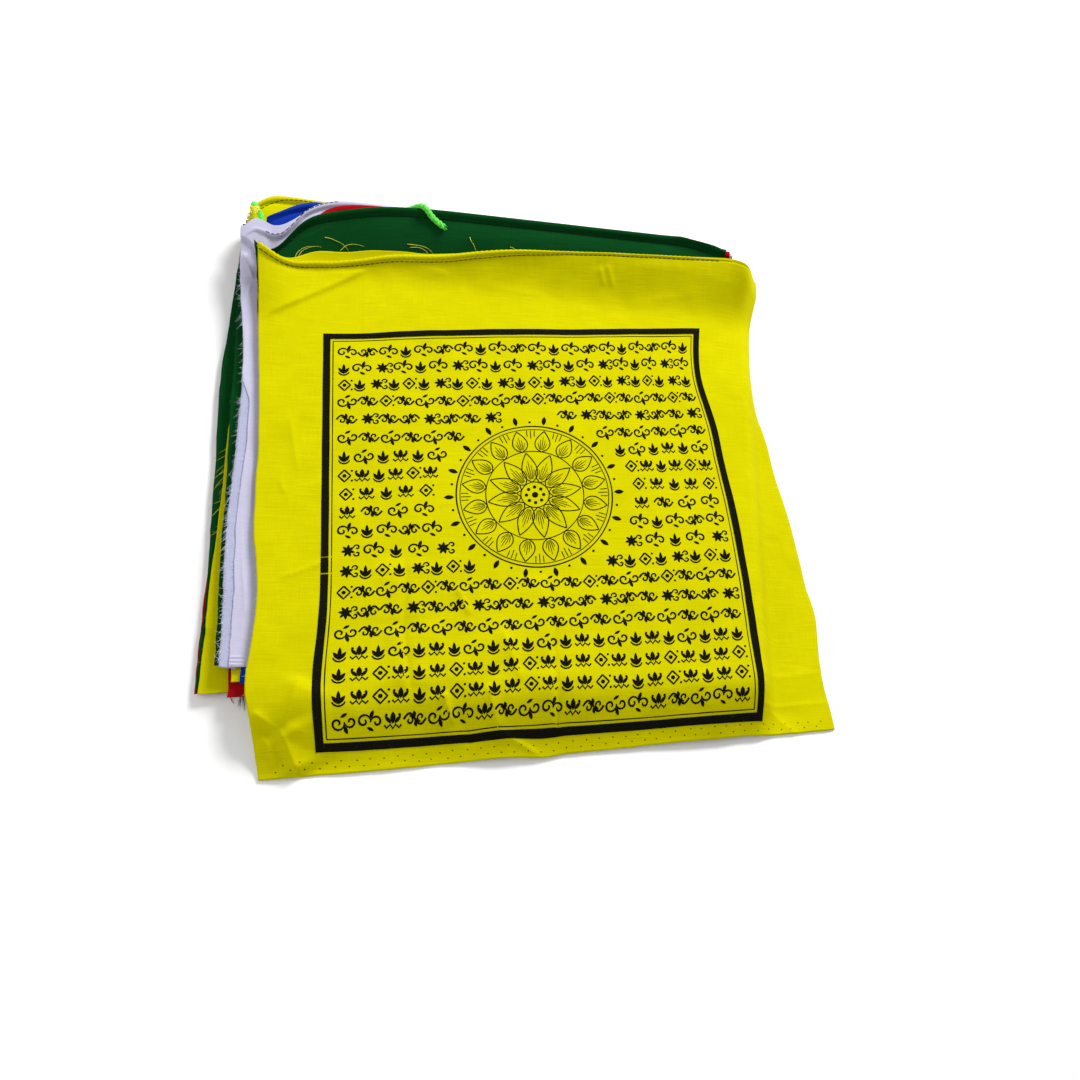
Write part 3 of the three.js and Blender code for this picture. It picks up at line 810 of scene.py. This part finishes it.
def printed(points, above=INK_ABOVE):
    """Points of the print, in its own mm, on the top flag."""
    points = np.asarray(points, float)
    a, b = points[..., 0] / PRINT_WIDE, points[..., 1] / PRINT_TALL
    c = np.array(PRINT_CORNERS)
    upper = c[0] + (c[1] - c[0]) * a[..., None]
    lower = c[3] + (c[2] - c[3]) * a[..., None]
    place = upper + (lower - upper) * b[..., None]
    return on_top_flag(place[..., 0], place[..., 1]) + (0, 0, above)


def stroke(path, width, taper=0.0, lanes=1):
    """A flat inked line; taper is the share of the width lost at both ends."""
    path = np.asarray(path, float)
    ahead = np.gradient(path, axis=0)
    ahead /= np.maximum(np.linalg.norm(ahead, axis=1), 1e-6)[:, None]
    side = np.stack([-ahead[:, 1], ahead[:, 0]], -1)
    t = np.linspace(0, 1, len(path))
    half = width / 2 * (1 - taper * np.abs(2 * t - 1) ** 2)
    half = half * (1 + 0.1 * np.sin(t * 23 + path[0, 0]) / lanes)
    offsets = np.linspace(1, -1, lanes + 1)
    points = np.concatenate([path + side * (half * k)[:, None] for k in offsets])
    n = len(path)
    corners = [k * n + i for k in range(lanes) for i in range(n - 1)]
    above = BAR_ABOVE if lanes > 1 else INK_ABOVE
    ink.put(printed(points, above), [(i, i + n, i + n + 1, i + 1) for i in corners])


def filled(outline):
    """An inked patch, fanned from its middle."""
    outline = np.asarray(outline, float)
    points = np.vstack([outline.mean(0), outline])
    n = len(outline)
    ink.put(printed(points), [(0, 1 + i, 1 + (i + 1) % n) for i in range(n)])


def ring(x, y, radius, count=14, start=0.0, sweep=2 * math.pi):
    a = start + np.linspace(0, sweep, count)
    return np.stack([x + radius * np.cos(a), y + radius * np.sin(a)], -1)


def around(x, y, radius, angle):
    return x + radius * math.cos(angle), y + radius * math.sin(angle)


def dot(x, y, radius):
    filled(ring(x, y, radius, 9)[:-1])


def curl(x, y, radius, start, turns, way):
    t = np.linspace(0, 1, 15)
    a = start + way * turns * 2 * math.pi * t
    r = radius * (1 - 0.8 * t)
    return np.stack([x + r * np.cos(a), y + r * np.sin(a)], -1)


def leaf(x, y, angle, length, fat):
    t = np.linspace(0, 1, 7)
    body = fat * np.sin(math.pi * t) ** 0.8
    one, other = (np.stack([t * length, sign * body], -1) for sign in (1, -1))
    outline = np.concatenate([one, other[::-1]])
    c, s = math.cos(angle), math.sin(angle)
    return outline @ np.array([[c, s], [-s, c]]) + (x, y)


def petal_line(x, y, angle, length, fat, width):
    t = np.linspace(0, 1, 10)
    body = fat * np.sin(math.pi * t**0.75) ** 0.9
    c, s = math.cos(angle), math.sin(angle)
    turn_to = np.array([[c, s], [-s, c]])
    for sign in (1, -1):
        stroke(np.stack([t * length, sign * body], -1) @ turn_to + (x, y), width)
    return turn_to


def scroll_unit(x, y, flip):
    stroke(curl(x - 2.9, y + 0.3 * flip, 3.6, 0.0, 1.15, flip), 1.15, 0.3)
    stroke(curl(x + 3.5, y - 0.3 * flip, 3.1, math.pi, 1.05, -flip), 1.1, 0.3)
    filled(leaf(x + 0.3, y + 1.4 * flip, flip * 1.2, 4.4, 1.0))
    filled(leaf(x - 1.4, y - 2.6 * flip, -flip * 0.5, 4.0, 0.8))


def rosette_unit(x, y, flip):
    for k in range(7):
        filled(leaf(x, y, k * 2 * math.pi / 7 + 0.3 * flip, 4.0, 0.85))
    for sign in (1, -1):
        stroke(curl(x + 5.0, y + sign * 1.9, 1.9, math.pi, 0.9, -sign), 0.95, 0.2)


def bud_unit(x, y, _flip):
    arc = [(-4.4, 2.2), (-3.2, 3.6), (-1.4, 2.0), (0, 3.9), (1.4, 2.0), (3.2, 3.6), (4.4, 2.2)]
    stroke(np.array(arc) + (x, y), 1.0)
    filled(leaf(x, y + 1.7, -math.pi / 2, 5.9, 1.4))
    for sign in (1, -1):
        filled(leaf(x + sign * 0.8, y + 1.5, -math.pi / 2 + sign * 0.75, 5.0, 0.95))
        dot(x + sign * 3.4, y - 2.6, 0.75)


def wave_unit(x, y, flip):
    t = np.linspace(0, 1, 14)
    stroke(np.stack([x - 6 + 12 * t, y + 2.7 * np.sin(2 * math.pi * t) * flip], -1), 1.15)
    stroke(curl(x - 2.9, y - 0.7 * flip, 2.2, 1.6 * flip, 0.95, -flip), 1.0, 0.2)
    stroke(curl(x + 3.1, y + 0.7 * flip, 2.2, -1.6 * flip, 0.95, -flip), 1.0, 0.2)
    filled(leaf(x + 0.2, y + 0.9 * flip, flip * 1.9, 3.2, 0.85))
    filled(leaf(x - 0.2, y - 0.9 * flip, -flip * 1.2, 3.2, 0.85))


def knot_unit(x, y, _flip):
    corners = np.array([(0, -3.9), (3.6, 0), (0, 3.9), (-3.6, 0), (0, -3.9)], float)
    sides = [np.linspace(a, b, 6)[:-1] for a, b in zip(corners, corners[1:])]
    stroke(np.concatenate(sides + [corners[-1:]]) + (x, y), 1.0)
    dot(x, y, 1.25)
    for sign in (1, -1):
        dot(x + 4.3, y + sign * 3.2, 0.7)


def flame_unit(x, y, _flip):
    for lean, length in ((0, 7.4), (0.62, 5.6), (-0.62, 5.6)):
        filled(leaf(x, y + 3.6, -math.pi / 2 + lean, length, 1.05))
    stroke(ring(x, y + 1.2, 3.4, 9, 0.35, math.pi - 0.7), 1.0, 0.3)


UNITS = {  # ornament and its width
    "s": (scroll_unit, 12.6), "r": (rosette_unit, 12.0), "b": (bud_unit, 10.4),
    "w": (wave_unit, 12.2), "k": (knot_unit, 9.6), "f": (flame_unit, 8.6),
}
ROW_PATTERNS = ["swsf", "bfbk", "wwr", "sfsr", "kbfb", "wsws", "rfkf", "sbws", "fbfs", "wkws"]
ROWS, ROW_TOP, ROW_PITCH = 20, 14.5, 12.35
ROW_INSET, ROUNDEL_ROOM, ROUNDEL_GAP = 8.0, 9, 3
ROUNDEL = (124.5, 118.0, 47.0)  # middle and radius
FRAME_LINES = ((2.1, 4.3, 4), (5.9, 0.55, 1))  # inset, width, lanes
SKIPS = (153.0, 153.5, 163.0, 163.7)  # starts and ends of two bare gaps in the left bar


# Petals of the roundel: count, start from its middle, length, half width, turn
PETALS = ((16, 29.5, 14.5, 4.6, 0.0), (12, 8.5, 20.0, 4.7, 0.13))


def print_rows():
    for row in range(ROWS):
        pattern = ROW_PATTERNS[row * 3 % len(ROW_PATTERNS)]
        y = ROW_TOP + row * ROW_PITCH
        left, right_end = ROW_INSET, PRINT_WIDE - ROW_INSET
        spans = [(left, right_end)]
        room = ROUNDEL[2] + ROUNDEL_ROOM
        if abs(y - ROUNDEL[1]) < room:
            half = math.sqrt(max(room**2 - (y - ROUNDEL[1]) ** 2, 0)) + ROUNDEL_GAP
            spans = [(left, ROUNDEL[0] - half), (ROUNDEL[0] + half, right_end)]
        for start, end in spans:
            chosen, used = [], 0.0
            following = UNITS[pattern[row % len(pattern)]]
            while used + following[1] <= end - start:
                chosen.append(following)
                used += following[1]
                following = UNITS[pattern[(len(chosen) + row) % len(pattern)]]
            spare = (end - start - used) / max(1, len(chosen))
            x = start
            for k, (unit, wide) in enumerate(chosen):
                x += (wide + spare) / 2
                unit(x, y + 0.5 * math.sin(0.05 * x + row), 1 if (k + row) % 2 else -1)
                x += (wide + spare) / 2


def print_frame():
    def side(a, b, width, lanes):
        a, b = np.array(a, float), np.array(b, float)
        t = np.linspace(0, 1, int(np.linalg.norm(b - a) / 1.1) + 2)[:, None]
        stroke(a + (b - a) * t, width, lanes=lanes)

    for inset, width, lanes in FRAME_LINES:
        x1, y1, x2, y2 = inset, inset, PRINT_WIDE - inset, PRINT_TALL - inset
        e = width / 2
        side((x1 + e, y1), (x2 - e, y1), width, lanes)
        side((x1 + e, y2), (x2 - e, y2), width, lanes)
        side((x2, y1 - e), (x2, y2 + e), width, lanes)
        for start, end in ((y1 - e, SKIPS[0]), SKIPS[1:3], (SKIPS[3], y2 + e)):
            side((x1, start), (x1, end), width, lanes)


def print_roundel():
    x, y, radius = ROUNDEL
    for r, width in ((radius, 0.8), (radius - 2.2, 0.5), (radius - 17.5, 0.55), (8.5, 0.6)):
        stroke(ring(x, y, r, 150), width)
    for k in range(36):
        a = k / 36 * 2 * math.pi
        if k % 2:
            dot(*around(x, y, radius + 3, a), 0.8)
        else:
            filled(leaf(*around(x, y, radius + 1.2, a), a, 6.2, 1.4))
    for count, start, length, fat, lean in PETALS:
        for k in range(count):
            a = (k + 0.5) / count * 2 * math.pi + lean
            px, py = around(x, y, start, a)
            turn_to = petal_line(px, py, a, length, fat, 0.65)
            for off in (-0.6, -0.3, 0.0, 0.3, 0.6):
                t = np.linspace(0.1, 0.72 - 0.5 * abs(off), 6)
                vein = np.stack([t * length, off * fat * np.sin(math.pi * t)], -1)
                stroke(vein @ turn_to + (px, py), 0.42, 0.4)
    for k in range(16):
        for lean in (-0.055, 0.0, 0.055):
            a = k / 16 * 2 * math.pi + lean
            t = np.linspace(38.5 + 25 * abs(lean), 44.2, 6)
            stroke(np.stack([x + t * math.cos(a), y + t * math.sin(a)], -1), 0.5)
    dot(x, y, 2.0)
    for k in range(8):
        a = k / 8 * 2 * math.pi
        dot(*around(x, y, 5.2, a), 1.1)


print_frame()
print_rows()
print_roundel()

# Pinholes of the selvedge, in two staggered rows: shares of the width and of the height
PINHOLES, PINHOLE_START, PINHOLE_PITCH, PINHOLE_ROWS = 84, 0.03, 0.0114, (0.9905, 0.981)
for k in range(PINHOLES):
    pu = PINHOLE_START + PINHOLE_PITCH * k + rng.normal(0, 0.0012)
    pv = PINHOLE_ROWS[k % 2] + rng.normal(0, 0.0006)
    a = np.arange(6) / 6 * 2 * math.pi
    spot = on_top_flag(pu + 0.0014 * np.cos(a), pv + 0.0011 * np.sin(a)) + (0, 0, 0.06)
    ink.put(spot, [tuple(range(6))])
ornament = ink.make("printed_ornament", INK)


# Stitches along the headings
STITCH_PITCH, STITCH_LENGTH = 3.1, 2.35
STITCH_RISE = (0.02, 0.2, 0.02)  # of the ends and the middle of a stitch over the cloth


def stitch_row(index, line, start, end, material=STITCHING, radius=0.25):
    """Stitches from one share of the width to another, along a line of mm below the far edge."""
    row = Pieces()
    for u in np.arange(start, end, STITCH_PITCH / PLAN_WIDE):
        u2 = min(u + STITCH_LENGTH / PLAN_WIDE, 1)
        points = np.array([on_flag(index, w, line(w)) for w in (u, (u + u2) / 2, u2)])
        points[:, 2] += STITCH_RISE
        row.tube(points, radius, 5)
    made = row.make(f"stitches_{index:02d}", material)
    return made


YELLOW_SEAM = curve([
    (0, 8), (0.0233, 7.4), (0.0389, 5.6), (0.0622, 4.4), (0.0911, 3.4), (0.2, 3.2), (1, 3.2),
])
stitches = {
    0: stitch_row(0, lambda u: STITCH_AT(u) + 0.25, 0.002, 0.9),
    # the green flag's stitches are dark enough to paint the shade of its seam groove
    GREEN: stitch_row(GREEN, lambda u: 5.9, 0.06, 0.96, GREEN_STITCHING_GROOVE_SHADE, 0.3),
    WHITE: stitch_row(WHITE, lambda u: casing_middle(FLAGS[WHITE], u) - 0.3, 0.05, 0.19),
    YELLOW: stitch_row(YELLOW, YELLOW_SEAM, 0.02, 0.14),
}


# Loose threads: frayed side edges, strays over the next flag, and tufts at the corners of the pile
FRAYED = (0, WHITE, BLUE, YELLOW, LOWER_GREEN, LOWER_RED, LOWER_YELLOW, LAST_GREEN)
bits = {index: Pieces() for index in FRAYED}


def thread(index, points, radius, taper=True):
    bits[index].tube(spline(points, 4), radius, 4, taper=taper)


def fray(index, start, end, count, reach, lean=0.0, radius=0.085, out=0.0):
    """Threads off a flag's left edge, or out from it, between two shares of its height."""
    flag = FLAGS[index]
    for v in rng.uniform(start, end, count):
        s = float(v * flag_height(flag, 0.0))
        base = on_flag(index, 0.003, s) - (out, 0, 0.08 * out)
        far = min(rng.gamma(2.0, reach / 2), 3 * reach)
        drop = rng.normal(-0.5, 0.5) + lean
        t = np.linspace(0, 1, 5)[:, None]
        path = base + (0, 0, -0.15) + np.array([-1.0, drop, 0.0]) * far * t
        path = path + np.array([0.0, rng.normal(0, 0.45), 0.0]) * far * t**2
        path[:, 2] += 0.2 * np.sin(t[:, 0] * 3) * rng.uniform(0.2, 1.2)
        bits[index].tube(path, radius, 4, taper=True)


STRAYS = [  # on the green flag: share of the width and mm below its far edge
    [(0.079, 25.6), (0.084, 22.6), (0.092, 21.2), (0.104, 21.0), (0.114, 22.0)],
    [(0.086, 26.0), (0.094, 23.0), (0.108, 22.2), (0.122, 22.4), (0.134, 23.6)],
    [(0.141, 17.2), (0.152, 18.2), (0.164, 20.2), (0.178, 22.8), (0.19, 27.0)],
    [(0.172, 27.0), (0.186, 23.6), (0.204, 23.4), (0.222, 25.0)],
    [(0.312, 23.6), (0.33, 23.9), (0.345, 24.4), (0.36, 26.2), (0.371, 30.0)],
    [(0.318, 25.4), (0.336, 25.2), (0.352, 27.0), (0.358, 30.0)],
    [(0.444, 16.6), (0.446, 18.4), (0.452, 20.8), (0.46, 26.0)],
    [(0.53, 20.0), (0.538, 20.6), (0.55, 23.0)],
]
for stray in STRAYS:
    thread(0, [on_flag(GREEN, u, s) + (0, 0, 0.34) for u, s in stray], 0.22)
fray(0, 0.03, 0.3, 26, 1.4)
fray(0, 0.45, 0.9, 60, 1.0)
fray(WHITE, 0.12, 0.4, 90, 1.8, radius=0.1)
fray(WHITE, 0.4, 0.99, 220, 1.3, radius=0.1)
fray(WHITE, 0.46, 0.99, 420, 1.6, radius=0.1, out=5.2)
fray(LOWER_GREEN, 0.25, 0.95, 40, 1.2)
fray(LOWER_YELLOW, 0.5, 0.72, 16, 4.2, lean=-0.6, radius=0.11)
fray(LOWER_YELLOW, 0.3, 0.98, 40, 1.2)
fray(LAST_GREEN, 0.2, 0.9, 40, 1.1)
RED_END = [(-179.5, -117, 8), (-180.4, -120.2, 4), (-180.3, -123.4, 0.6), (-178.9, -125.4, 0.3)]
thread(LOWER_RED, RED_END, 0.4)
BLUE_TUFT, YELLOW_TUFT, KNOT_THREADS = 14, 18, 18
for _ in range(BLUE_TUFT):
    a, b = rng.normal(0, 1, 2)
    tuft = [
        (-173.6, -117.4, 9.5), (-174.2 + 0.5 * a, -120.5, 5.5),
        (-174.4 + 1.2 * a, -124 - 0.6 * b, 1.2), (-174.6 + 2 * a, -127.5 - 1.6 * b, 0.3),
    ]
    thread(BLUE, tuft, 0.14)
for _ in range(YELLOW_TUFT):
    a, b, c = rng.normal(0, 1, 3)
    start = on_flag(YELLOW, 0.004, 6 + 9 * rng.uniform())
    tuft = np.array([
        (0, 0, 0), (-1.6 + 0.5 * a, 0.9 * b, 0.5), (-2.4 + 0.8 * b, -1.6 + 1.2 * c, 0.2),
        (-0.6 + a, -3.2 + 1.3 * b, 0.3), (0.8 + 0.6 * c, -3.8 + 0.8 * a, 0.5),
    ])
    thread(YELLOW, start + tuft, 0.22, taper=False)
KNOT = np.array((-167.3, 188.6, 28.1))  # tangle of yellow threads by the link of the cord
for _ in range(KNOT_THREADS):
    a, b, c = rng.normal(0, 1, 3)
    tangle = np.array([
        (1.5 * a, 1.7 * b, 0.5 * c), (-1.2 * b, 1.5 * c, 0.8 + 0.3 * a),
        (1.4 * c, -1.4 * a, 0.6), (-1.7 * a, -2.0 + b, 0.2),
    ])
    thread(YELLOW, KNOT + tangle, 0.28, taper=False)
frays = {}
for index, piece in bits.items():
    made = piece.make(f"fray_{index:02d}", FRAYS[FLAGS[index]["colour"]])
    frays[index] = made

for index, cloth in enumerate(cloths):
    extra = [group[index] for group in (stitches, frays) if index in group]
    if index == 0:
        extra += [ornament, rim_roll]
    if index == WHITE:
        extra += [white_edge]

# Floor and light
WORLD_LIGHT = 0.385
floor_mesh = bpy.data.meshes.new("floor")
floor_mesh.from_pydata([(-4, -4, 0), (4, -4, 0), (4, 4, 0), (-4, 4, 0)], [], [(0, 1, 2, 3)])
paper = Shader("pale_floor")
grain = paper.spread(paper.noise(paper.place(), (40.0, 40.0, 40.0), 3.0), 0.3, 0.7)
paper.feed("Base Color", paper.blend(grain, linear(246, 246, 246), linear(250, 250, 250)))
paper.fixed(Roughness=0.9, Specular_IOR_Level=0.1)
floor_mesh.materials.append(paper.material)
floor = placed("floor", floor_mesh)


def lamp(name, place, size, power):
    """A round soft light that looks at the origin."""
    data = bpy.data.lights.new(name, "AREA")
    data.shape, data.size, data.energy = "DISK", size, power
    made = placed(name, data)
    made.location = place
    made.rotation_mode = "QUATERNION"
    made.rotation_quaternion = (-Vector(place)).to_track_quat("-Z", "Y")


lamp("key", (0.89, 1.19, 1.16), size=0.8, power=46)
lamp("fill", (-1.0, -0.2, 1.1), size=1.6, power=9.2)
world = bpy.data.worlds.new("studio")
world.use_nodes = True
background = world.node_tree.nodes["Background"]
background.inputs["Color"].default_value = (1, 1, 1, 1)
background.inputs["Strength"].default_value = WORLD_LIGHT
bpy.context.scene.world = world
bpy.context.scene.view_settings.view_transform = "Standard"
